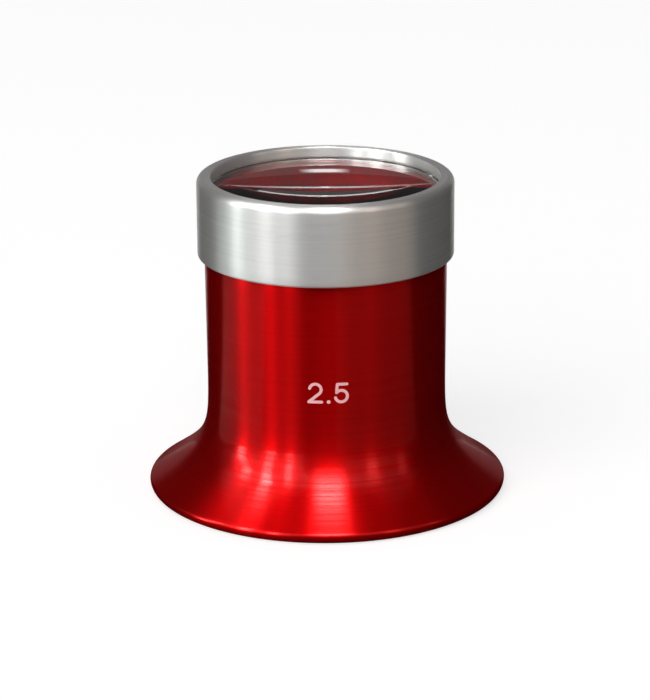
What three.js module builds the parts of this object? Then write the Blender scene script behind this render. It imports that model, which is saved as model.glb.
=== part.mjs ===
// A watchmaker's eye loupe of 2.5 power. An eyecup, turned in one piece from aluminium bar and
// anodised red, flares out to the edge that the brow and cheek hold. A natural aluminium bezel
// screws over its neck and holds a biconvex glass lens, which a snap ring keeps in the bezel when
// it is taken off for cleaning. Millimetres, +Z up along the optical axis. The origin is the
// middle of the flare's resting edge, and the eye looks in from below it.
import * as THREE from "three";

// Optics: a power of 2.5, counted from a near point of 250 mm, is a focal length of 100 mm
const focalLength = 100;
const glassIndex = 1.523;
const lensDiameter = 25;
const lensEdgeThickness = 1.8;
const lensBevel = 0.2;

// The whole loupe
const overallHeight = 34.8;
const flareRadius = 19.5;

// Clearances
const lensSideClearance = 0.1;
const lensPassClearance = 0.07;
const seatGap = 0.1;
const threadClearance = 0.2;
const ringClearance = 0.1;

// Screw thread, drawn here as plain cylinders at its middle depth
const threadPitch = 0.75;
const threadDepthShare = 0.5413;
const threadChamfer = 0.25;
const reliefHeight = 0.7;
const reliefDepth = 0.3;

// Bezel
const bezelHeight = 8.6;
const bezelWall = 0.83;
const bezelTopRounding = 0.75;
const bezelLowerChamfer = 0.25;
const lipDepth = 1.1;
const lipCover = 0.23;
const lipEdgeRounding = 0.15;

// Snap ring, a flat split ring in a groove under the lens
const snapRingThickness = 0.6;
const snapRingHidden = 0.35;
const snapRingWidth = 0.9;
const snapRingSplit = 4;

// Eyecup
const shoulderStep = 0.09;
const shoulderGap = 0.12;
const tubeTaper = 0.11;
const tubeWall = 1.55;
const flareStartHeight = 11.25;
const flareUpperPull = 6.3;
const flareLowerRun = 4.25;
const flareLowerRise = 3.15;
const flareWall = 1.45;
const edgeFlank = 0.825;
const edgeUpperRounding = 0.45;
const edgeLowerRounding = 0.85;
const restingLandWidth = 0.4;

// How finely the round forms are divided
const turnSteps = 64;
const flareSteps = 14;
const roundingSteps = 4;
const lensFaceSteps = 6;
const ringSteps = 48;

// Sizes that follow from those above
const lensRadius = lensDiameter / 2;
const lensFaceRadius = 2 * (glassIndex - 1) * focalLength;

const threadDepth = threadPitch * threadDepthShare;
const threadMinorRadius = lensRadius + lensPassClearance;
const threadMajorRadius = threadMinorRadius + threadDepth;
const threadMiddleRadius = (threadMinorRadius + threadMajorRadius) / 2;
const neckRadius = threadMiddleRadius - threadClearance / 2;
const bezelBoreRadius = threadMiddleRadius + threadClearance / 2;

const bezelRadius = threadMajorRadius + bezelWall;
const bezelBottom = overallHeight - bezelHeight;
const sightRadius = lensRadius - lipCover;
const lensSeatRadius = lensRadius + lensSideClearance;

const lipUnderside = overallHeight - lipDepth;
const lensEdgeTop = lipUnderside - seatGap;
const lensEdgeBottom = lensEdgeTop - lensEdgeThickness;
const snapRingTop = lensEdgeBottom - seatGap;
const snapRingBottom = snapRingTop - snapRingThickness;
const grooveTop = snapRingTop + ringClearance / 2;
const grooveBottom = snapRingBottom - ringClearance / 2;
const snapRingOuterRadius = lensRadius + snapRingHidden;
const snapRingInnerRadius = snapRingOuterRadius - snapRingWidth;
const grooveRadius = snapRingOuterRadius + ringClearance;

const tubeTopRadius = threadMajorRadius + shoulderStep;
const tubeWaistRadius = tubeTopRadius - tubeTaper;
const boreRadius = tubeTopRadius - tubeWall;
const shoulderHeight = bezelBottom - shoulderGap;
const neckTop = snapRingBottom - seatGap;
const reliefRadius = neckRadius - reliefDepth;

// The bell comes down to the edge at a slope, whose outward normal leans up by this angle
const edgeLean = Math.atan2(flareLowerRun, flareLowerRise);

// A point of a turned outline: its distance from the axis and its height
function at(radius, height) {
  return new THREE.Vector2(radius, height);
}

// Points along a quarter or half round, from one angle to another about its middle
function arc(middle, radius, from, to, steps) {
  const points = [];
  for (let i = 0; i <= steps; i += 1) {
    const angle = from + ((to - from) * i) / steps;
    points.push(at(middle.x + radius * Math.cos(angle), middle.y + radius * Math.sin(angle)));
  }
  return points;
}

// An outline turned round the axis, which becomes +Z: a ring's outline closes on itself, and a
// solid one's starts and ends on the axis
function turned(outline) {
  const points = outline[0].x > 0 ? [...outline, outline[0]] : outline;
  const geometry = new THREE.LatheGeometry(points, turnSteps);
  geometry.rotateX(Math.PI / 2);
  return geometry;
}

// The rounded edge of the bell, from the bench up: a large rounding and then a small one
function edgeOutline() {
  const lower = at(flareRadius - edgeLowerRounding, edgeLowerRounding);
  const upper = at(flareRadius - edgeUpperRounding, edgeLowerRounding);
  return [
    ...arc(lower, edgeLowerRounding, -Math.PI / 2, 0, roundingSteps),
    ...arc(upper, edgeUpperRounding, 0, edgeLean, roundingSteps).slice(1),
  ];
}

// The bell of the eyecup: one smooth curve that leaves the tube upright and ends where a short
// straight flank takes over and runs to the rounded edge
function flareCurve() {
  const flankEnd = edgeOutline().pop();
  const edge = at(
    flankEnd.x - edgeFlank * Math.sin(edgeLean),
    flankEnd.y + edgeFlank * Math.cos(edgeLean),
  );
  return new THREE.CubicBezierCurve(
    at(tubeWaistRadius, flareStartHeight),
    at(tubeWaistRadius, flareStartHeight - flareUpperPull),
    at(edge.x - flareLowerRun, edge.y + flareLowerRise),
    edge,
  );
}

// The inside of the bell, which follows the outside at the thickness of the wall
function flareInside(curve) {
  const points = [];
  for (let i = 0; i <= flareSteps; i += 1) {
    const share = i / flareSteps;
    const outside = curve.getPoint(share);
    const along = curve.getTangent(share);
    const wall = tubeWaistRadius - boreRadius + (flareWall - (tubeWaistRadius - boreRadius)) * share;
    points.push(at(outside.x + along.y * wall, outside.y - along.x * wall));
  }
  return points;
}

function eyecupOutline() {
  const curve = flareCurve();
  const neckSide = [
    at(tubeTopRadius, shoulderHeight),
    at(reliefRadius, shoulderHeight),
    at(reliefRadius, shoulderHeight + reliefHeight),
    at(neckRadius, shoulderHeight + reliefHeight + reliefDepth),
    at(neckRadius, neckTop - threadChamfer),
    at(neckRadius - threadChamfer, neckTop),
    at(boreRadius, neckTop),
  ];
  return [
    at(flareRadius - edgeLowerRounding - restingLandWidth, 0),
    ...edgeOutline(),
    ...curve.getPoints(flareSteps).reverse(),
    ...neckSide,
    ...flareInside(curve),
  ];
}

function bezelOutline() {
  const topRound = at(bezelRadius - bezelTopRounding, overallHeight - bezelTopRounding);
  const sightRound = at(sightRadius + lipEdgeRounding, overallHeight - lipEdgeRounding);
  return [
    at(bezelBoreRadius + threadChamfer, bezelBottom),
    at(bezelRadius - bezelLowerChamfer, bezelBottom),
    at(bezelRadius, bezelBottom + bezelLowerChamfer),
    ...arc(topRound, bezelTopRounding, 0, Math.PI / 2, roundingSteps),
    ...arc(sightRound, lipEdgeRounding, Math.PI / 2, Math.PI, roundingSteps / 2),
    at(sightRadius, lipUnderside),
    at(lensSeatRadius, lipUnderside),
    at(lensSeatRadius, grooveTop),
    at(grooveRadius, grooveTop),
    at(grooveRadius, grooveBottom),
    at(bezelBoreRadius, grooveBottom),
    at(bezelBoreRadius, bezelBottom + threadChamfer),
  ];
}

// Height of a lens face above its own edge, at a distance from the axis
function lensFaceRise(radius, edgeRadius) {
  const depthAtEdge = Math.sqrt(lensFaceRadius ** 2 - edgeRadius ** 2);
  return Math.sqrt(lensFaceRadius ** 2 - radius ** 2) - depthAtEdge;
}

// The lens: two equal spherical faces, a ground edge and a small bevel at each corner
function lensOutline() {
  const faceEdge = lensRadius - lensBevel;
  const bottom = [];
  const top = [];
  for (let i = 0; i <= lensFaceSteps; i += 1) {
    const radius = (faceEdge * i) / lensFaceSteps;
    const rise = lensFaceRise(radius, faceEdge);
    bottom.push(at(radius, lensEdgeBottom - rise));
    top.unshift(at(radius, lensEdgeTop + rise));
  }
  return [
    ...bottom,
    at(lensRadius, lensEdgeBottom + lensBevel),
    at(lensRadius, lensEdgeTop - lensBevel),
    ...top,
  ];
}

function snapRingGeometry() {
  const middleRadius = (snapRingOuterRadius + snapRingInnerRadius) / 2;
  const halfSplit = snapRingSplit / 2 / middleRadius;
  const outline = new THREE.Shape();
  outline.absarc(0, 0, snapRingOuterRadius, halfSplit, 2 * Math.PI - halfSplit, false);
  outline.absarc(0, 0, snapRingInnerRadius, 2 * Math.PI - halfSplit, halfSplit, true);
  outline.closePath();
  const geometry = new THREE.ExtrudeGeometry(outline, {
    depth: snapRingThickness,
    bevelEnabled: false,
    curveSegments: ringSteps,
  });
  geometry.translate(0, 0, snapRingBottom);
  return geometry;
}

function piece(name, geometry, material) {
  const mesh = new THREE.Mesh(geometry, material);
  mesh.name = name;
  return mesh;
}

const redAnodised = new THREE.MeshStandardMaterial({
  color: 0xb80a10,
  roughness: 0.28,
  metalness: 1,
});
const naturalAluminium = new THREE.MeshStandardMaterial({
  color: 0xd0cfcc,
  roughness: 0.35,
  metalness: 1,
});
const clearGlass = new THREE.MeshStandardMaterial({
  color: 0xeef5f0,
  roughness: 0.02,
  metalness: 0,
  transparent: true,
  opacity: 0.3,
});
const springSteel = new THREE.MeshStandardMaterial({
  color: 0x8d8f92,
  roughness: 0.3,
  metalness: 1,
});

// What screws off together stays in one group, and the lens lies loose inside it
const lensCell = new THREE.Group();
lensCell.add(piece("bezel", turned(bezelOutline()), naturalAluminium));
lensCell.add(piece("lens", turned(lensOutline()), clearGlass));
lensCell.add(piece("snap_ring", snapRingGeometry(), springSteel));

const loupe = new THREE.Group();
loupe.add(piece("eyecup", turned(eyecupOutline()), redAnodised));
loupe.add(lensCell);

export default loupe;
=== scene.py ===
import math

import bmesh
import bpy
from mathutils import Matrix, Vector


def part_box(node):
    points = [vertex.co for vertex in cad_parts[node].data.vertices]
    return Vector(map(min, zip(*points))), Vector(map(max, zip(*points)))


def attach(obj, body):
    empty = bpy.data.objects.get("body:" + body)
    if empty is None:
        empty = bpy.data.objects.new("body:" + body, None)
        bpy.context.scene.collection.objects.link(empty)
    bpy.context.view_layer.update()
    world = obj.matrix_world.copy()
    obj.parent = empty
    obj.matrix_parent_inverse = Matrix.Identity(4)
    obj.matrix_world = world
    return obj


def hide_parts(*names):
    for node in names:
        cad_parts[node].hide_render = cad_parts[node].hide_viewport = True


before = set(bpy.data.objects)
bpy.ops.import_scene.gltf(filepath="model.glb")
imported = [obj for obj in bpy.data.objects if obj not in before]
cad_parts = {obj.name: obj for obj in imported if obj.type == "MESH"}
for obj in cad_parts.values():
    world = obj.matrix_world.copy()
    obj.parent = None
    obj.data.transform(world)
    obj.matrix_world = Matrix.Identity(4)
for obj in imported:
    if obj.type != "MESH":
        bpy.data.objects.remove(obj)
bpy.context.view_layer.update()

# %% [markdown]
# The script works in metres, like the frame. Small sizes are easier to read in millimetres, so
# one factor turns them over. What the frame can say is asked of it: how wide the flare is, where
# the bezel starts and ends, and where the lens lies.
# %% Sizes that the frame gives
MM = 0.001

flare_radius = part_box("eyecup")[1].x
neck_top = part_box("eyecup")[1].z
bezel_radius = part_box("bezel")[1].x
bezel_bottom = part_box("bezel")[0].z
bezel_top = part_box("bezel")[1].z
lens_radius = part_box("lens")[1].x
lens_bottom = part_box("lens")[0].z
lens_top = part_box("lens")[1].z
ring_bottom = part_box("snap_ring")[0].z
ring_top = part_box("snap_ring")[1].z
ring_outer_radius = -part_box("snap_ring")[0].x
print("flare", round(2 * flare_radius / MM, 2), "mm, bezel", round(2 * bezel_radius / MM, 2), "mm")

# %% [markdown]
# The rest are the maker's own sizes: walls, the lip over the lens, the thread, and the handles of
# the one curve that is the bell of the cup. Most are the same as in the model's source. The bell
# is drawn a little closer to what its highlights show, and the thread has its real depth.
# %% Sizes of the turned pieces
shoulder_inset = 0.74 * MM
tube_taper = 0.11 * MM
tube_wall = 1.55 * MM
tube_top_radius = bezel_radius - shoulder_inset
tube_waist_radius = tube_top_radius - tube_taper
bore_radius = tube_top_radius - tube_wall
flare_start = 12.3 * MM
flare_upper_pull = 6 * MM
flare_lower_pull = 7.4 * MM
flare_wall = 1.45 * MM
edge_lean = 57
edge_upper_rounding = 0.45 * MM
edge_lower_rounding = 0.85 * MM
land_width = 0.4 * MM
edge_break = 0.08 * MM
shoulder_gap = 0.12 * MM
relief_height = 0.7 * MM
relief_depth = 0.15 * MM

lip_cover = 0.23 * MM
lip_depth = 1.1 * MM
lens_play = 0.1 * MM
ring_play = 0.1 * MM
groove_slack = 0.05 * MM
sight_radius = lens_radius - lip_cover
lens_seat_radius = lens_radius + lens_play
groove_radius = ring_outer_radius + ring_play
bezel_top_rounding = 0.75 * MM
bezel_lower_rounding = 0.25 * MM
lip_rounding = 0.15 * MM
mouth_chamfer = 0.25 * MM

lens_edge_thickness = 1.8 * MM
lens_bevel = 0.2 * MM

ring_width = 0.9 * MM
ring_split = 4 * MM
ring_rounding = 0.12 * MM

thread_pitch = 0.75 * MM
thread_depth_share = 0.5413
thread_depth = thread_depth_share * thread_pitch
lens_passage = 0.07 * MM
thread_middle = lens_radius + lens_passage + thread_depth / 2
thread_play = 0.05 * MM
print("thread", round(2 * (thread_middle + thread_depth / 2) / MM, 2), "mm across its crests")

# %% [markdown]
# A turned piece is one outline, spun round. The outline is a list of points, each a distance from
# the axis and a height. Rounded edges are arcs, so the light catches them as it does on a real
# piece, where a careful turner leaves nothing knife sharp.
# %% Points, arcs and curves of an outline
TURN_STEPS = 256
TURN = 2 * math.pi


def arc(middle, radius, start, end, steps=8):
    """Points on an arc about middle, from one angle to another, in degrees."""
    points = []
    for i in range(steps + 1):
        angle = math.radians(start + (end - start) * i / steps)
        points.append((middle[0] + radius * math.cos(angle), middle[1] + radius * math.sin(angle)))
    return points


def bezier(handles, share):
    """A point on a cubic curve, and the direction in which the curve runs there."""
    a, b, c, d = (Vector(p) for p in handles)
    rest = 1 - share
    point = a * rest**3 + 3 * b * rest**2 * share + 3 * c * rest * share**2 + d * share**3
    along = (b - a) * rest**2 + 2 * (c - b) * rest * share + (d - c) * share**2
    return point, along.normalized()


def line(start, end, steps):
    """Evenly spaced points from start to end, both included."""
    return [
        tuple(s + (e - s) * i / steps for s, e in zip(start, end)) for i in range(steps + 1)
    ]


print("an outline is spun in", TURN_STEPS, "steps")

# %% [markdown]
# A lathe tool leaves fine rings, and a shader can only draw rings that follow the outline if it
# knows how far along the outline a point lies. So the spun mesh keeps that distance as an
# attribute. An outline that starts on the axis is a solid one, and any other closes on itself.
# %% Spin an outline into a mesh
MERGE_DISTANCE = 0.0005 * MM
SHARP_ANGLE = 38


def grid_faces(rows, columns, closed_rows=False, closed_columns=False):
    """Faces between the points of a grid, which may close on itself either way."""
    faces = []
    for i in range(rows if closed_rows else rows - 1):
        a, b = i * columns, (i + 1) % rows * columns
        for j in range(columns if closed_columns else columns - 1):
            k = (j + 1) % columns
            faces.append((a + j, a + k, b + k, b + j))
    return faces


def mesh_from(name, vertices, faces, **point_values):
    """A mesh, with a named number for each of its points where some are given."""
    mesh = bpy.data.meshes.new(name)
    mesh.from_pydata(vertices, [], faces)
    for key, values in point_values.items():
        mesh.attributes.new(key, "FLOAT", "POINT").data.foreach_set("value", values)
    return mesh


def add_object(name, data):
    """An object in the scene that carries a mesh, a lamp or a camera."""
    item = bpy.data.objects.new(name, data)
    bpy.context.scene.collection.objects.link(item)
    return item


def smooth_piece(name, mesh):
    """An object whose doubled points are merged and whose faces look outward and are smooth."""
    shape = bmesh.new()
    shape.from_mesh(mesh)
    bmesh.ops.remove_doubles(shape, verts=shape.verts, dist=MERGE_DISTANCE)
    bmesh.ops.dissolve_degenerate(shape, edges=shape.edges, dist=MERGE_DISTANCE)
    bmesh.ops.recalc_face_normals(shape, faces=shape.faces)
    shape.to_mesh(mesh)
    shape.free()
    mesh.shade_smooth()
    mesh.set_sharp_from_angle(angle=math.radians(SHARP_ANGLE))
    print(name, "has", len(mesh.polygons), "faces")
    return add_object(name, mesh)


def spin(name, outline, radius_at=None):
    """A mesh object from an outline. radius_at may change a point's radius as the angle goes."""
    vertices, lengths = [], []
    run = 0
    for i, (radius, height) in enumerate(outline):
        run += math.dist(outline[i], outline[i - 1]) if i else 0
        for j in range(TURN_STEPS):
            angle = TURN * j / TURN_STEPS
            r = radius_at(radius, height, angle) if radius_at else radius
            vertices.append((r * math.cos(angle), r * math.sin(angle), height))
            lengths.append(run)
    is_ring = outline[0][0] > 0
    faces = grid_faces(len(outline), TURN_STEPS, closed_rows=is_ring, closed_columns=True)
    return smooth_piece(name, mesh_from(name, vertices, faces, along_outline=lengths))


# %% [markdown]
# The screw thread is a real helix here. A right-hand thread climbs as it goes round
# counter-clockwise, so its depth depends on the height less the angle's share of the pitch. The
# neck and the bezel use the same wave, a hair apart, so that they stay in mesh at every turn.
# %% The thread's wave
ROWS_PER_PITCH = 12
FLANK_STEEPNESS = 1.3


def thread_wave(height, angle):
    """How deep a right-hand thread is cut at a place: -1 in the root and 1 on the crest."""
    turn = (height / thread_pitch - angle / TURN) % 1
    flank = 1 - 4 * abs(turn - 0.5)
    return max(-1, min(1, FLANK_STEEPNESS * flank))


def cut_neck(radius, height, angle):
    """The neck's own radius, or less where the thread is cut into it."""
    if radius < relief_radius or not thread_start <= height <= neck_top:
        return radius
    cut = thread_middle - thread_play / 2 + thread_depth / 2 * thread_wave(height, angle)
    return min(radius, cut)


def cut_bezel(radius, height, angle):
    """The bezel's bore, or more where the thread is cut into it."""
    if radius > bezel_mouth_radius or height > groove_bottom:
        return radius
    cut = thread_middle + thread_play / 2 + thread_depth / 2 * thread_wave(height, angle)
    return max(radius, cut)


print("thread drawn with", ROWS_PER_PITCH, "rows a pitch")

# %% [markdown]
# The eyecup is the main piece. From the resting land the outline goes round the flare's edge, a
# large rounding and then a small one, up the bell on one cubic curve, up the slightly waisted tube
# to the shoulder, over the threaded neck, and back down the bore. Inside, it follows the bell at
# the wall's thickness and stops a little short of the edge. The edge leans by the angle that the
# bell's normal makes with the bench.
# %% The eyecup
BELL_STEPS = 48
LOWER_EDGE_STEPS = 12
UPPER_EDGE_STEPS = 10
TUBE_STEPS = 12
LEAD_IN_STEPS = 8
BREAK_STEPS = 4

shoulder = bezel_bottom - shoulder_gap
thread_start = shoulder + relief_height
neck_radius = thread_middle - thread_play / 2 + thread_depth / 2
relief_radius = neck_radius - thread_depth - relief_depth

lower_middle = (flare_radius - edge_lower_rounding, edge_lower_rounding)
upper_middle = (flare_radius - edge_upper_rounding, edge_lower_rounding)
rounded_edge = [
    *arc(lower_middle, edge_lower_rounding, -90, 0, LOWER_EDGE_STEPS),
    *arc(upper_middle, edge_upper_rounding, 0, edge_lean, UPPER_EDGE_STEPS)[1:],
]
bell_end = rounded_edge[-1]
tube_foot = (tube_waist_radius, flare_start)
tube_head = (tube_top_radius, shoulder - edge_break)
bell = [
    tube_foot,
    (tube_waist_radius, flare_start - flare_upper_pull),
    (
        bell_end[0] - flare_lower_pull * math.sin(math.radians(edge_lean)),
        bell_end[1] + flare_lower_pull * math.cos(math.radians(edge_lean)),
    ),
    bell_end,
]
waist_wall = tube_waist_radius - bore_radius
inside_share = 0.93


def bell_outside():
    """The bell from its edge up to the tube."""
    return [tuple(bezier(bell, 1 - i / BELL_STEPS)[0]) for i in range(BELL_STEPS + 1)]


def bell_inside():
    """The inside of the bell from the bore down, at the thickness of the wall."""
    points = []
    for i in range(BELL_STEPS + 1):
        share = inside_share * i / BELL_STEPS
        outside, along = bezier(bell, share)
        wall = waist_wall + (flare_wall - waist_wall) * share
        points.append((outside.x + along.y * wall, outside.y - along.x * wall))
    return points


def neck_outside():
    """The shoulder, the relief under the thread, the thread's length and the lead-in at the top."""
    rows = round((neck_top - thread_start - 2 * thread_depth) / thread_pitch * ROWS_PER_PITCH)
    relief_top = (relief_radius, thread_start)
    thread_foot = (neck_radius, thread_start + neck_radius - relief_radius)
    thread_head = (neck_radius, neck_top - thread_depth)
    lead_in_top = (neck_radius - thread_depth, neck_top)
    return [
        (relief_radius, shoulder),
        relief_top,
        *line(relief_top, thread_foot, ROWS_PER_PITCH)[1:],
        *line(thread_foot, thread_head, rows)[1:],
        *line(thread_head, lead_in_top, LEAD_IN_STEPS)[1:],
    ]


eyecup_outline = [
    (lower_middle[0] - land_width, 0),
    *rounded_edge,
    *bell_outside()[1:],
    *line(tube_foot, tube_head, TUBE_STEPS)[1:],
    *arc((tube_head[0] - edge_break, tube_head[1]), edge_break, 0, 90, BREAK_STEPS)[1:],
    *neck_outside(),
    *arc((bore_radius + edge_break, neck_top - edge_break), edge_break, 90, 180, BREAK_STEPS),
    *bell_inside(),
]
eyecup = spin("eyecup_body", eyecup_outline, cut_neck)

# %% [markdown]
# The bezel is a short tube with a lip at the top. Its outer top edge is well rounded, because a
# thumb turns it, and its lower edge is only broken. Inside, from the top: the lip, the lens's
# seat, the groove of the split ring, and the thread down to a chamfered mouth.
# %% The bezel
SIDE_STEPS = 8
TOP_ROUND_STEPS = 16

groove_top = ring_top + groove_slack
groove_bottom = ring_bottom - groove_slack
lip_underside = bezel_top - lip_depth
bezel_bore_radius = thread_middle + thread_play / 2 - thread_depth / 2
bezel_mouth_radius = bezel_bore_radius + thread_depth + mouth_chamfer / 2

top_round = (bezel_radius - bezel_top_rounding, bezel_top - bezel_top_rounding)
low_round = (bezel_radius - bezel_lower_rounding, bezel_bottom + bezel_lower_rounding)
lip_round = (sight_radius + lip_rounding, bezel_top - lip_rounding)
mouth_top = bezel_bottom + bezel_mouth_radius - bezel_bore_radius
thread_rows = round((groove_bottom - mouth_top) / thread_pitch * ROWS_PER_PITCH)

bezel_outline = [
    *arc(low_round, bezel_lower_rounding, -90, 0),
    *line((bezel_radius, low_round[1]), (bezel_radius, top_round[1]), SIDE_STEPS)[1:],
    *arc(top_round, bezel_top_rounding, 0, 90, TOP_ROUND_STEPS)[1:],
    *arc(lip_round, lip_rounding, 90, 180),
    (sight_radius, lip_underside + edge_break),
    (sight_radius + edge_break, lip_underside),
    (lens_seat_radius, lip_underside),
    (lens_seat_radius, groove_top),
    (groove_radius, groove_top),
    (groove_radius, groove_bottom),
    *line((bezel_bore_radius, groove_bottom), (bezel_bore_radius, mouth_top), thread_rows),
    *line((bezel_bore_radius, mouth_top), (bezel_mouth_radius, bezel_bottom), ROWS_PER_PITCH)[1:],
]
bezel = spin("bezel_ring", bezel_outline, cut_bezel)

# %% [markdown]
# A lens of 2.5 power has two equal, gently bulging faces. The bulge comes from the frame's
# heights, and a circle through the middle and the edge gives each face. The edge is ground, with
# a small bevel at each corner that keeps the glass from chipping.
# %% The lens
FACE_STEPS = 48

face_edge = lens_radius - lens_bevel
bulge = (lens_top - lens_bottom - lens_edge_thickness) / 2
face_radius = (face_edge**2 + bulge**2) / (2 * bulge)
edge_top = lens_top - bulge
edge_bottom = lens_bottom + bulge


def face_rise(radius):
    """How far a lens face stands above its own edge."""
    return math.sqrt(face_radius**2 - radius**2) - math.sqrt(face_radius**2 - face_edge**2)


face_radii = [face_edge * i / FACE_STEPS for i in range(FACE_STEPS + 1)]
lens_outline = [
    *[(r, edge_bottom - face_rise(r)) for r in face_radii],
    (lens_radius, edge_bottom + lens_bevel),
    (lens_radius, edge_top - lens_bevel),
    *[(r, edge_top + face_rise(r)) for r in reversed(face_radii)],
]
lens = spin("lens_glass", lens_outline)
print("lens faces curve at", round(face_radius / MM, 1), "mm")

# %% [markdown]
# The split ring is a flat spring with a gap, so it can be squeezed into its groove. It is a small
# rounded section carried along an arc, with a cap at each end.
# %% The split ring
RING_STEPS = 160
SECTION_STEPS = 4


def rounded_section(inner, outer, bottom, top, rounding):
    """The four rounded corners of a rectangle, as distances from the axis and heights."""
    points = []
    corners = [(outer, bottom, -90), (outer, top, 0), (inner, top, 90), (inner, bottom, 180)]
    for x, z, start in corners:
        middle_x = x - rounding if x == outer else x + rounding
        middle_z = z - rounding if z == top else z + rounding
        points += arc((middle_x, middle_z), rounding, start, start + 90, SECTION_STEPS)
    return points


def split_ring(name):
    """The section carried round from one side of the gap to the other, with its two ends."""
    inner = ring_outer_radius - ring_width
    section = rounded_section(inner, ring_outer_radius, ring_bottom, ring_top, ring_rounding)
    half_gap = ring_split / 2 / (ring_outer_radius - ring_width / 2)
    count = len(section)
    vertices = []
    for i in range(RING_STEPS + 1):
        angle = half_gap + (TURN - 2 * half_gap) * i / RING_STEPS
        vertices += [(r * math.cos(angle), r * math.sin(angle), z) for r, z in section]
    faces = grid_faces(RING_STEPS + 1, count, closed_columns=True)
    faces.append(tuple(range(count)))
    faces.append(tuple(range(RING_STEPS * count, (RING_STEPS + 1) * count)))
    return smooth_piece(name, mesh_from(name, vertices, faces))


snap_ring = split_ring("lens_split_ring")

# %% [markdown]
# The power is marked on the tube by a laser, whose round spot runs along one line for each figure
# and leaves pale bare metal where the red was. A font would give other figures, so each is drawn
# here as the laser draws it: the middle line of its stroke, in millimetres, from arcs and lines.
# %% The middle lines of the figures
MARK_STEP = 0.12
HEAD_STEPS = 20
BOWL_STEPS = 30


def polyline(*corners):
    """Points from corner to corner, close enough together to follow the tube's round."""
    points = [corners[0]]
    for start, end in zip(corners, corners[1:]):
        points += line(start, end, max(1, round(math.dist(start, end) / MARK_STEP)))[1:]
    return points


two_radius = 0.61
two_middle = (0.7, 1.375)
two_width = 1.36
two_hook_angle = 169
two_reach = math.hypot(*two_middle)
two_slant = math.atan2(two_middle[1], two_middle[0]) - math.asin(two_radius / two_reach)
two_leave_angle = math.degrees(two_slant) - 90
two_head = arc(two_middle, two_radius, two_hook_angle, two_leave_angle, HEAD_STEPS)
figure_two = two_head + polyline(two_head[-1], (0, 0))[1:]
foot_of_two = polyline((0, 0), (two_width, 0))

five_middle = (3.435, 0.627)
five_radius = 0.64
five_height = 1.945
five_left = 3.015
five_right = 4.02
bowl_start_angle = 143
bowl_end_angle = -165
five_bowl = arc(five_middle, five_radius, bowl_start_angle, bowl_end_angle, BOWL_STEPS)
figure_five = polyline((five_right, five_height), (five_left, five_height), five_bowl[0])[:-1]
figure_five += five_bowl

point_middle = (2.094, 0.01)
point_half = 0.02
decimal_point = [(point_middle[0] - point_half, point_middle[1])]
decimal_point += [(point_middle[0] + point_half, point_middle[1])]
print("figures drawn with", len(figure_two) + len(figure_five), "points")

# %% [markdown]
# A stroke is a band with round ends. At every point of the middle line the band has a left and a
# right edge, and where the line turns sharply the outer edge goes round in a small arc. The band
# is given a little depth and rolled onto the tube: across becomes an angle, depth a radius. It
# stands a hundredth of a millimetre proud, which no finger feels, so that it never flickers.
# %% Roll the strokes onto the tube
CAP_STEPS = 6
CORNER_STEPS = 4
SHARP_TURN = 0.5
LEAST_MITRE = 0.3
BAND_CORNERS = 4

stroke_width = 0.31
point_width = 0.38
mark_left = -1.9 * MM
mark_level = 13.56 * MM
mark_proud = 0.01 * MM
mark_sunk = 0.04 * MM


def tube_radius_at(height):
    """The tube's radius at a height between the bell and the shoulder."""
    share = (height - flare_start) / (shoulder - flare_start)
    return tube_waist_radius + (tube_top_radius - tube_waist_radius) * share


def cap_pair(point, way, half, angle):
    """Left and right edge points of a round end, at an angle ahead of its widest place."""
    ahead, side = way * math.sin(angle), way.orthogonal() * math.cos(angle)
    return point + (ahead + side) * half, point + (ahead - side) * half


def corner_pairs(point, before, after, half):
    """Left and right edge points where one way becomes another. A sharp corner has several."""
    turn = before.angle_signed(after)
    bisector = (before.orthogonal() + after.orthogonal()).normalized()
    inner = bisector * (half / max(LEAST_MITRE, math.cos(turn / 2)))
    steps = range(CORNER_STEPS + 1) if abs(turn) > SHARP_TURN else [CORNER_STEPS // 2]
    pairs = []
    for step in steps:
        share = step / CORNER_STEPS
        outer = before.orthogonal().lerp(after.orthogonal(), share).normalized() * half
        pairs.append((point + outer, point - inner) if turn > 0 else (point + inner, point - outer))
    return pairs


def stroke_edges(points, width):
    """Pairs of left and right edge points along a middle line, with round ends and corners."""
    points = [Vector(p) for p in points]
    half = width / 2
    ways = [(b - a).normalized() for a, b in zip(points, points[1:])]
    cap_angles = [math.pi / 2 * step / CAP_STEPS for step in range(CAP_STEPS + 1)]
    pairs = [cap_pair(points[0], ways[0], half, -angle) for angle in reversed(cap_angles)]
    for point, before, after in zip(points[1:], ways, ways[1:]):
        pairs += corner_pairs(point, before, after, half)
    pairs += [cap_pair(points[-1], ways[-1], half, angle) for angle in cap_angles]
    return pairs


def rolled(point, rise):
    """A flat point of the mark, in millimetres, as a place on the tube's front."""
    height = mark_level + point[1] * MM
    radius = tube_radius_at(height)
    angle = (mark_left + point[0] * MM) / radius - TURN / 4
    return ((radius + rise) * math.cos(angle), (radius + rise) * math.sin(angle), height)


def mark_mesh(name, strokes):
    """One mesh of all strokes, each a closed band with a top, a bottom and edges."""
    vertices, faces = [], []
    for points, width in strokes:
        first = len(vertices)
        pairs = stroke_edges(points, width)
        for left, right in pairs:
            vertices += [rolled(left, mark_proud), rolled(right, mark_proud)]
            vertices += [rolled(right, -mark_sunk), rolled(left, -mark_sunk)]
        for face in grid_faces(len(pairs), BAND_CORNERS, closed_columns=True):
            faces.append(tuple(first + corner for corner in face))
        faces.append(tuple(range(first, first + BAND_CORNERS)))
        faces.append(tuple(range(len(vertices) - BAND_CORNERS, len(vertices))))
    return smooth_piece(name, mesh_from(name, vertices, faces))


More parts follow.
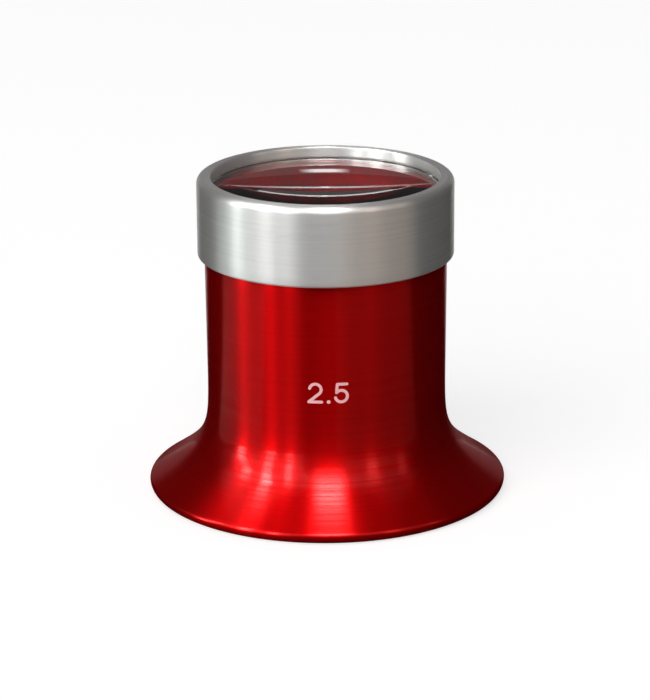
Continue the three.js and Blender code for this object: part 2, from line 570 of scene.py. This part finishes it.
mark_strokes = [(points, stroke_width) for points in (figure_two, foot_of_two, figure_five)]
mark_strokes.append((decimal_point, point_width))
power_mark = mark_mesh("power_mark", mark_strokes)

# %% [markdown]
# Metal is all in how rough it is and which way its fine grooves run. Turning grooves run round
# the axis, so a lamp's image stays narrow across them and is drawn out long along the axis. The
# shader has that built in: anisotropy, with a tangent that goes round Z. The grooves themselves
# are noise that changes fast along the outline and slowly round the axis.
# %% Helpers for lathe-turned metal
GROOVE_DETAIL = 3
ROUND_THE_AXIS = 0.25


def new_material(name):
    """A node material and its shader."""
    material = bpy.data.materials.new(name)
    material.use_nodes = True
    return material, material.node_tree.nodes["Principled BSDF"]


def add(tree, kind, **settings):
    """A node with its settings."""
    node = tree.nodes.new(kind)
    for key, value in settings.items():
        setattr(node, key, value)
    return node


def groove_noise(tree, along, around):
    """Noise for turned grooves: along and around are how often it changes a metre each way."""
    link_up = tree.links.new
    place = add(tree, "ShaderNodeTexCoord")
    flat = add(tree, "ShaderNodeVectorMath", operation="MULTIPLY")
    flat.inputs[1].default_value = (1, 1, 0)
    level = add(tree, "ShaderNodeVectorMath", operation="NORMALIZE")
    wide = add(tree, "ShaderNodeVectorMath", operation="SCALE")
    wide.inputs["Scale"].default_value = around * bezel_radius
    run = add(tree, "ShaderNodeAttribute", attribute_name="along_outline")
    deep = add(tree, "ShaderNodeMath", operation="MULTIPLY")
    deep.inputs[1].default_value = along
    lift = add(tree, "ShaderNodeCombineXYZ")
    both = add(tree, "ShaderNodeVectorMath", operation="ADD")
    noise = add(tree, "ShaderNodeTexNoise")
    noise.inputs["Scale"].default_value = 1
    noise.inputs["Detail"].default_value = GROOVE_DETAIL
    link_up(place.outputs["Object"], flat.inputs[0])
    link_up(flat.outputs[0], level.inputs[0])
    link_up(level.outputs[0], wide.inputs[0])
    link_up(run.outputs["Fac"], deep.inputs[0])
    link_up(deep.outputs[0], lift.inputs["Z"])
    link_up(wide.outputs[0], both.inputs[0])
    link_up(lift.outputs[0], both.inputs[1])
    link_up(both.outputs[0], noise.inputs["Vector"])
    return noise.outputs["Fac"]


def ranged(tree, source, low, high, start=0.3, end=0.7):
    """A value that goes from low to high as the source goes from start to end."""
    node = add(tree, "ShaderNodeMapRange")
    for key, value in {"From Min": start, "From Max": end, "To Min": low, "To Max": high}.items():
        node.inputs[key].default_value = value
    tree.links.new(source, node.inputs["Value"])
    return node.outputs["Result"]


def turned_metal(name, colour, second_colour, metallic, roughness, anisotropy, groove_depth):
    """Metal with turning grooves. The two colours are the ends of its slight unevenness."""
    material, shader = new_material(name)
    tree = material.node_tree
    shader.inputs["Metallic"].default_value = metallic
    shader.inputs["Specular IOR Level"].default_value = 0
    shader.inputs["Anisotropic"].default_value = anisotropy
    shader.inputs["Anisotropic Rotation"].default_value = ROUND_THE_AXIS
    tangent = add(tree, "ShaderNodeTangent", direction_type="RADIAL", axis="Z")
    tree.links.new(tangent.outputs[0], shader.inputs["Tangent"])
    fine = groove_noise(tree, along=6000, around=40)
    tree.links.new(ranged(tree, fine, *roughness), shader.inputs["Roughness"])
    mix = add(tree, "ShaderNodeMix", data_type="RGBA")
    mix.inputs["A"].default_value = (*colour, 1)
    mix.inputs["B"].default_value = (*second_colour, 1)
    tree.links.new(ranged(tree, fine, 0, 1), mix.inputs["Factor"])
    tree.links.new(mix.outputs["Result"], shader.inputs["Base Color"])
    bump = add(tree, "ShaderNodeBump")
    bump.inputs["Strength"].default_value = 1
    bump.inputs["Distance"].default_value = groove_depth
    tree.links.new(fine, bump.inputs["Height"])
    tree.links.new(bump.outputs[0], shader.inputs["Normal"])
    return material


print("metal helpers ready")

# %% [markdown]
# Anodising is a clear glassy skin on the metal, dyed red. Light goes through the dye twice, so the
# metal's own reflection is deep red, and the skin adds a faint colourless shine of its own.
# %% Red anodised aluminium
red_metal = turned_metal(
    "red_anodised_aluminium",
    colour=(0.68, 0.002, 0.003),
    second_colour=(0.61, 0.002, 0.003),
    metallic=0.82,
    roughness=(0.32, 0.33),
    anisotropy=0.9,
    groove_depth=0.0002 * MM,
)
red_tree = red_metal.node_tree
red_shader = red_tree.nodes["Principled BSDF"]
red_shader.inputs["Coat Roughness"].default_value = 0.1
red_shader.inputs["Coat IOR"].default_value = 1.6
skin_lines = groove_noise(red_tree, along=4500, around=14)
skin_weight = ranged(red_tree, skin_lines, low=0.09, high=0.38, start=0.34, end=0.66)
red_tree.links.new(skin_weight, red_shader.inputs["Coat Weight"])
print("made", red_metal.name)

# %% [markdown]
# The bezel is turned from the same bar and left bare. Bare turned aluminium is a pale, slightly
# dull mirror: its grooves are coarser, so they are given more depth and a wider range of
# roughness. A fifth of it is not metallic, which is the light that the grooves scatter.
# %% Natural aluminium
bright_metal = turned_metal(
    "natural_aluminium",
    colour=(0.92, 0.915, 0.9),
    second_colour=(0.84, 0.83, 0.81),
    metallic=0.8,
    roughness=(0.33, 0.39),
    anisotropy=0.8,
    groove_depth=0.004 * MM,
)
print("made", bright_metal.name)

# %% [markdown]
# The split ring is darker steel with a fine grind. The mark is where the laser burnt the dye
# away: a matt, pale pink skin, since a little of the red is left in it.
# %% Spring steel and the marked metal
spring_metal = turned_metal(
    "spring_steel",
    colour=(0.45, 0.45, 0.46),
    second_colour=(0.4, 0.4, 0.41),
    metallic=1,
    roughness=(0.3, 0.36),
    anisotropy=0.4,
    groove_depth=0.0005 * MM,
)
mark_metal, mark_shader = new_material("laser_marked_aluminium")
mark_shader.inputs["Base Color"].default_value = (1, 0.52, 0.52, 1)
mark_shader.inputs["Roughness"].default_value = 0.7
mark_shader.inputs["Metallic"].default_value = 0
print("made", spring_metal.name, "and", mark_metal.name)

# %% [markdown]
# The glass is clear crown glass with a perfect polish. Its index of refraction, 1.523, decides
# how far it bends light and how much it mirrors. All else that the lens shows is really the red
# bore under it and the room round it.
# %% Lens glass
glass, glass_shader = new_material("lens_glass")
glass_shader.inputs["Base Color"].default_value = (0.98, 0.99, 0.98, 1)
glass_shader.inputs["Roughness"].default_value = 0
glass_shader.inputs["IOR"].default_value = 1.523
glass_shader.inputs["Transmission Weight"].default_value = 1
print("made", glass.name)

# %% [markdown]
# Each piece now rides on the body that carries it, takes the material listed for it,
# and stands for its plain solid, which is hidden. The mark stands for no
# solid, and is part of the cup.
# %% Put each piece on its body
pieces = [
    (eyecup, "eyecup", "eyecup", "red_anodised", red_metal),
    (bezel, "bezel", "bezel", "natural_aluminium", bright_metal),
    (lens, "lens", "lens", "lens_glass", glass),
    (snap_ring, "bezel", "snap_ring", "spring_steel", spring_metal),
    (power_mark, "eyecup", None, "natural_aluminium", mark_metal),
]
for piece, body, node, slot, material in pieces:
    piece.data.materials.append(material)
    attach(piece, body)
    if node:
        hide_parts(node)
print("dressed", len(pieces), "pieces")

# %% [markdown]
# The table and the room behind it are white where the camera looks at them, also through a lens,
# and a gloss sees a quarter of that. The Light Path node tells such looks from the light that only
# falls on things. So the background is white without pouring more light on the loupe, and its
# shadow stays.
# %% White table and white room
SWEEP_STEPS = 48
gloss_share = 0.25


def seen_as_background(tree):
    """1 where the camera or a lens looks, less for a gloss, 0 where light is gathered."""
    rays = add(tree, "ShaderNodeLightPath")
    gloss = add(tree, "ShaderNodeMath", operation="MULTIPLY")
    gloss.inputs[1].default_value = gloss_share
    tree.links.new(rays.outputs["Is Glossy Ray"], gloss.inputs[0])
    seen = gloss.outputs[0]
    for kind in ("Is Camera Ray", "Is Transmission Ray"):
        either = add(tree, "ShaderNodeMath", operation="MAXIMUM")
        tree.links.new(seen, either.inputs[0])
        tree.links.new(rays.outputs[kind], either.inputs[1])
        seen = either.outputs[0]
    return seen


def sweep(name, outline, start, end, material):
    """A stage sheet: an outline swept about Z from one azimuth to another, 0 being the front."""
    vertices = []
    for i in range(SWEEP_STEPS + 1):
        azimuth = math.radians(start + (end - start) * i / SWEEP_STEPS)
        vertices += [(r * math.sin(azimuth), -r * math.cos(azimuth), z) for r, z in outline]
    mesh = mesh_from(name, vertices, grid_faces(SWEEP_STEPS + 1, len(outline)))
    mesh.materials.append(material)
    sheet = add_object(name, mesh)
    return sheet


table_radius = 6
table_glow = 0.66
room_fill = 0.3

table_material, table_shader = new_material("white_table")
table_tree = table_material.node_tree
table_shader.inputs["Base Color"].default_value = (0.5, 0.5, 0.5, 1)
table_shader.inputs["Roughness"].default_value = 1
table_shader.inputs["Specular IOR Level"].default_value = 0
table_shader.inputs["Emission Color"].default_value = (1, 1, 1, 1)
seen = seen_as_background(table_tree)
glow = ranged(table_tree, seen, low=0, high=table_glow, start=0, end=1)
table_tree.links.new(glow, table_shader.inputs["Emission Strength"])
sweep("table", [(0, 0), (table_radius, 0)], -180, 180, table_material)

world = bpy.data.worlds.new("white_room")
bpy.context.scene.world = world
world.use_nodes = True
room_tree = world.node_tree
room = room_tree.nodes["Background"]
room.inputs["Color"].default_value = (1, 1, 1, 1)
seen = seen_as_background(room_tree)
brightness = ranged(room_tree, seen, low=room_fill, high=1, start=0, end=1)
room_tree.links.new(brightness, room.inputs["Strength"])
print("table", 2 * table_radius, "m across")

# %% [markdown]
# Polished and turned metal is a picture of the room. To keep the red deep, a studio puts black
# cards round the set and a black mat under it, and lets white lamps show only where a streak of
# light is wanted. Here they are a mat and a dome that the camera doesn't see. Behind the loupe the
# dome's cards are black with a faint grey glow of their own. The mat under the loupe and the dome,
# but for its foot behind, are seen through the lens too, or the glass would look like milk.
# %% Dark cards
DOME_STEPS = 16
mat_radius = 1.8
mat_level = 0.01 * MM
dome_radius = 1.9
open_from = 150
# The cards behind the loupe are black and glow a faint grey of their own, seen only in gloss.
back_heights = (0, 13, 90)
back_glows = (0.15, 0.07)
back_glow_colour = (1, 0.93, 0.95)


def card_material(name, glow=0, colour=(1, 1, 1)):
    """A card without a gloss of its own: black, or as pale as its glow says."""
    material, shader = new_material(name)
    shader.inputs["Base Color"].default_value = (0, 0, 0, 1)
    shader.inputs["Specular IOR Level"].default_value = 0
    shader.inputs["Emission Color"].default_value = (*colour, 1)
    shader.inputs["Emission Strength"].default_value = glow
    return material


def seen_by_gloss_only(card, through_glass=False):
    """Hides a card or a lamp from the camera, and keeps it from lighting or shading anything."""
    card.visible_camera = False
    card.visible_diffuse = False
    card.visible_shadow = False
    card.visible_transmission = through_glass


black_material = card_material("black_card")
mat = sweep("mat", [(0, mat_level), (flare_radius, mat_level)], -180, 180, black_material)
front_mat_outline = [(flare_radius, mat_level), (mat_radius, mat_level)]
front_mat = sweep("front_mat", front_mat_outline, -open_from, open_from, black_material)
dome_outline = arc((0, 0), dome_radius, 0, 90, DOME_STEPS)
dome = sweep("dome", dome_outline, -open_from, open_from, black_material)
back_cards = []
for i, glow in enumerate(back_glows):
    back_outline = arc((0, 0), dome_radius, *back_heights[i : i + 2])
    grey_material = card_material(f"back_card_{i}", glow, back_glow_colour)
    back_cards.append(sweep(f"back_{i}", back_outline, open_from, 360 - open_from, grey_material))
for card in (mat, front_mat, dome, *back_cards):
    seen_by_gloss_only(card, through_glass=card not in (front_mat, back_cards[0]))
print("cards up to", dome_radius, "m away")

# %% [markdown]
# The upright sides of the bezel and the tube mirror what lies on the table. Without something
# pale there they go black, so glowing sheets lie on the mat. They light nothing and show only as
# pale reflections in the metal: a cool one at the left, where the bezel shines most, a dim one
# beside it and a warm one at the right.
# %% Glowing sheets on the mat
glow_sheet_level = 0.02 * MM
glow_sheet_inner, glow_sheet_outer = 0.035, 0.6
white = (1, 1, 1)
cool_white = (0.93, 1, 0.97)
warm_sheet_glow = (1, 0.8, 0.62)


def glow_sheet(name, start, end, glow, colour):
    """A glowing sheet on the mat, from one azimuth to another, that only gloss sees."""
    outline = [(glow_sheet_inner, glow_sheet_level), (glow_sheet_outer, glow_sheet_level)]
    sheet = sweep(name, outline, start, end, card_material(name, glow, colour))
    seen_by_gloss_only(sheet)


# Each sheet is black and glows by its own light, so it shows only as a reflection in the metal.
glow_sheet("glow_sheet_side", -108, -56, glow=0.34, colour=cool_white)
glow_sheet("glow_sheet_left", -56, -22, glow=0.1, colour=white)
glow_sheet("glow_sheet_right", 8, 82, glow=0.15, colour=warm_sheet_glow)
print("paper from", glow_sheet_inner, "m to", glow_sheet_outer, "m away")

# %% [markdown]
# The camera stands 0.3 m in front and looks down by 18 degrees. Its place and lens come from
# lining up a pinhole camera with the outlines in the photograph. A lens is given in millimetres
# on a sensor, so the length that was found in pixels is scaled by the sensor's width.
# %% Camera
camera_place = Vector((-0.000153, -0.298178, 0.111747))
camera_pitch = 17.959
camera_roll = -0.384
focal_pixels = 2877.476
frame_width = 650
sensor_width = 36

camera_data = bpy.data.cameras.new("camera")
camera_data.sensor_fit = "HORIZONTAL"
camera_data.sensor_width = sensor_width
camera_data.lens = focal_pixels / frame_width * sensor_width
camera_data.clip_start = 10 * MM
camera = add_object("camera", camera_data)
turn_down = Matrix.Rotation(math.radians(90 - camera_pitch), 4, "X")
turn_own_axis = Matrix.Rotation(math.radians(camera_roll), 4, "Z")
camera.matrix_world = Matrix.Translation(camera_place) @ turn_down @ turn_own_axis
bpy.context.scene.camera = camera
print("camera lens", round(camera_data.lens, 1), "mm")

# %% [markdown]
# The streaks on the red are the lamps' own images in its clear skin, and each follows from where
# its lamp stands. A ribbon is a lamp like a long soft tube: a glowing band bent through a few
# directions, given as azimuth, elevation, half width in degrees and glow. Its edges fade out.
# %% Directions and ribbon lamps
RIBBON_STEPS = 3
lamp_distance = 1.5
lamp_target = Vector((0, 0, 12 * MM))
fade_share = 0.4
profile = [(-1 - fade_share, 0), (-1 + fade_share, 1), (1 - fade_share, 1), (1 + fade_share, 0)]


def toward(azimuth, elevation):
    """The direction from the loupe at an azimuth, 0 in front and 90 to the right, and elevation."""
    a, e = math.radians(azimuth), math.radians(elevation)
    return Vector((math.sin(a) * math.cos(e), -math.cos(a) * math.cos(e), math.sin(e)))


def ribbon_rows(stations):
    """Direction, half width and glow at close steps through the stations."""
    rows = []
    for first, second in zip(stations, stations[1:]):
        for i in range(RIBBON_STEPS):
            share = i / RIBBON_STEPS
            way = toward(*first[:2]).lerp(toward(*second[:2]), share).normalized()
            width = first[2] + (second[2] - first[2]) * share
            glow = first[3] + (second[3] - first[3]) * share
            rows.append((way, width, glow))
    last = stations[-1]
    rows.append((toward(*last[:2]), last[2], last[3]))
    return rows


def ribbon(name, stations, material, distance=lamp_distance):
    """A glowing band through the stations, unseen by the camera."""
    rows = ribbon_rows(stations)
    vertices, glows = [], []
    for i, (way, width, glow) in enumerate(rows):
        ahead = rows[min(i + 1, len(rows) - 1)][0] - rows[max(i - 1, 0)][0]
        across = ahead.cross(way).normalized()
        for share, level in profile:
            side = across * math.tan(math.radians(width * share))
            vertices.append(lamp_target + (way + side) * distance)
            glows.append(glow * level)
    mesh = mesh_from(name, vertices, grid_faces(len(rows), len(profile)), glow=glows)
    mesh.materials.append(material)
    band = add_object(name, mesh)
    seen_by_gloss_only(band, through_glass=True)


def glowing(name, colour):
    """A clear material that glows as strongly as the mesh's own glow says."""
    material = bpy.data.materials.new(name)
    material.use_nodes = True
    tree = material.node_tree
    tree.nodes.clear()
    strength = add(tree, "ShaderNodeAttribute", attribute_name="glow")
    light = add(tree, "ShaderNodeEmission")
    light.inputs["Color"].default_value = (*colour, 1)
    clear = add(tree, "ShaderNodeBsdfTransparent")
    both = add(tree, "ShaderNodeAddShader")
    output = add(tree, "ShaderNodeOutputMaterial")
    tree.links.new(strength.outputs["Fac"], light.inputs["Strength"])
    tree.links.new(light.outputs[0], both.inputs[0])
    tree.links.new(clear.outputs[0], both.inputs[1])
    tree.links.new(both.outputs[0], output.inputs["Surface"])
    return material


print("ribbons stand", lamp_distance, "m away")

# %% [markdown]
# The flare mirrors the sky from the horizon at its top to overhead at its edge, so one ribbon
# that climbs draws one streak down it. Three stand at the left, a wide soft one in front and two
# weak ones at the right. A short one behind the loupe puts the small glint on the lens.
# %% Stations of the streaks
side_streak = [
    (-84, -8, 4, 5),
    (-84, 0, 4, 8),
    (-84, 8, 4, 8.5),
    (-84, 16, 4, 7),
    (-82, 21, 4, 4),
    (-82, 27, 4, 4),
    (-81, 33, 3.5, 10),
    (-86, 39, 3.5, 5),
    (-91, 44, 3.5, 2.8),
    (-97, 52, 3.5, 0),
]
main_streak = [
    (-52, -8, 4, 1.5),
    (-52, 0, 4, 3.5),
    (-53, 10, 4, 5),
    (-56, 23, 3.6, 7),
    (-61, 38, 3.4, 11),
    (-69, 51, 3.2, 18),
    (-82, 58, 3, 7),
    (-93, 62, 3, 3),
    (-103, 64, 3, 1.5),
    (-109, 65, 3, 0.2),
]
thin_streak = [
    (-34, -8, 3, 0.8),
    (-34, 3, 3, 2.4),
    (-34, 17, 3, 4),
    (-37, 33, 2.8, 8),
    (-40, 43, 2.6, 8),
    (-44, 53, 2.4, 4.5),
    (-51, 61, 2.2, 1.5),
    (-57, 65, 2.2, 0),
]
front_window = [
    (2.5, 26, 10.6, 0.3),
    (2.5, 37, 9.8, 2),
    (2.5, 53, 8.6, 6),
    (3, 60, 8, 10),
    (3.5, 69, 7.2, 13),
    (4.5, 76, 6.2, 12),
    (9, 83, 5.4, 8),
    (28, 87.6, 5.2, 3.6),
    (110, 89, 5.1, 2),
    (165, 87.5, 5, 0.2),
]
right_streak = [
    (40, -2, 4, 0.1),
    (41, 10, 4, 0.4),
    (43, 25, 4, 1.5),
    (44, 35, 4, 1.7),
    (50, 46, 4, 0.9),
    (58, 60, 4, 0.3),
]
faint_streak = [
    (70, -2, 3.5, 0),
    (72, 18, 3.5, 0.4),
    (75, 30, 3.5, 0.9),
    (80, 43, 3.5, 0.3),
]
lens_glint = [
    (178.7, 11, 0.9, 0),
    (179.5, 11, 0.9, 2.2),
    (180.5, 11, 0.9, 2.2),
    (181.3, 11, 0.9, 0),
]
print("the main streak has", len(main_streak), "stations")

# %% [markdown]
# Between the streaks the red is bright at the left and dark at the right. Broad dim ribbons do
# that. They stand further away than the narrow ones, which shine through and add to them.
# %% Stations of the broad bands
low_left_band = [
    (-112, 23, 20, 0.05),
    (-98, 23, 20, 0.25),
    (-90, 23, 20, 0.9),
    (-60, 23, 20, 0.9),
    (-25, 23, 20, 0.9),
    (-20, 23, 20, 0.15),
    (-5, 23, 20, 0.1),
]
high_left_band = [
    (-118, 50, 14, 0.2),
    (-105, 50, 14, 0.7),
    (-80, 50, 14, 0.9),
    (-35, 50, 14, 0.8),
    (-12, 50, 14, 0.9),
    (14, 50, 14, 0.8),
    (40, 50, 14, 0.6),
    (70, 50, 14, 0.3),
    (100, 50, 14, 0.1),
]
right_band = [
    (-5, 21, 15, 0.05),
    (20, 21, 15, 0.4),
    (50, 21, 15, 0.4),
    (85, 21, 15, 0.05),
]
print("the widest band has", len(high_left_band), "stations")

# %% [markdown]
# Daylight from the left is a little cool, and the lamps at the right are warm, which tints the
# streaks. All ribbons now go up, the broad ones behind.
# %% Hang the ribbons
band_distance = 1.7
warm_light = (1, 0.8, 0.66)

lamp_white = glowing("lamp_white", white)
lamp_cool = glowing("lamp_cool", cool_white)
lamp_warm = glowing("lamp_warm", warm_light)
ribbon("low_left_band", low_left_band, lamp_cool, band_distance)
ribbon("high_left_band", high_left_band, lamp_white, band_distance)
ribbon("right_band", right_band, lamp_warm, band_distance)
ribbon("right_streak", right_streak, lamp_warm)
ribbon("faint_streak", faint_streak, lamp_warm)
ribbon("side_streak", side_streak, lamp_cool)
ribbon("main_streak", main_streak, lamp_white)
ribbon("thin_streak", thin_streak, lamp_white)
ribbon("front_window", front_window, lamp_white)
ribbon("lens_glint", lens_glint, lamp_white)
print("hung the ribbons")

# %% [markdown]
# The ribbons show in gloss alone. The plain light that falls on everything comes from two wide
# soft boxes, one in front and one overhead, which gloss doesn't see. They are area lamps, turned
# to face the loupe, and their power follows from their size and how bright they should look.
# %% Soft boxes
def soft_box(name, middle, width, height, radiance):
    """A soft lamp that faces the loupe: its middle's azimuth and elevation, sizes in degrees."""
    way = toward(*middle)
    level = Vector((0, 0, 1)).cross(way).normalized()
    data = bpy.data.lights.new(name, "AREA")
    data.shape = "RECTANGLE"
    data.size = 2 * lamp_distance * math.tan(math.radians(width / 2))
    data.size_y = 2 * lamp_distance * math.tan(math.radians(height / 2))
    data.energy = radiance * data.size * data.size_y * math.pi
    lamp = add_object(name, data)
    lamp.matrix_world = Matrix((level, way.cross(level), way)).transposed().to_4x4()
    lamp.location = lamp_target + way * lamp_distance
    lamp.visible_glossy = False
    print(name, "is", round(data.size, 2), "by", round(data.size_y, 2), "m")


soft_box("fill_front", (-25, 36), width=60, height=50, radiance=2.3)
soft_box("fill_top", (0, 80), width=60, height=50, radiance=0.25)

bpy.context.scene.view_settings.view_transform = "Standard"
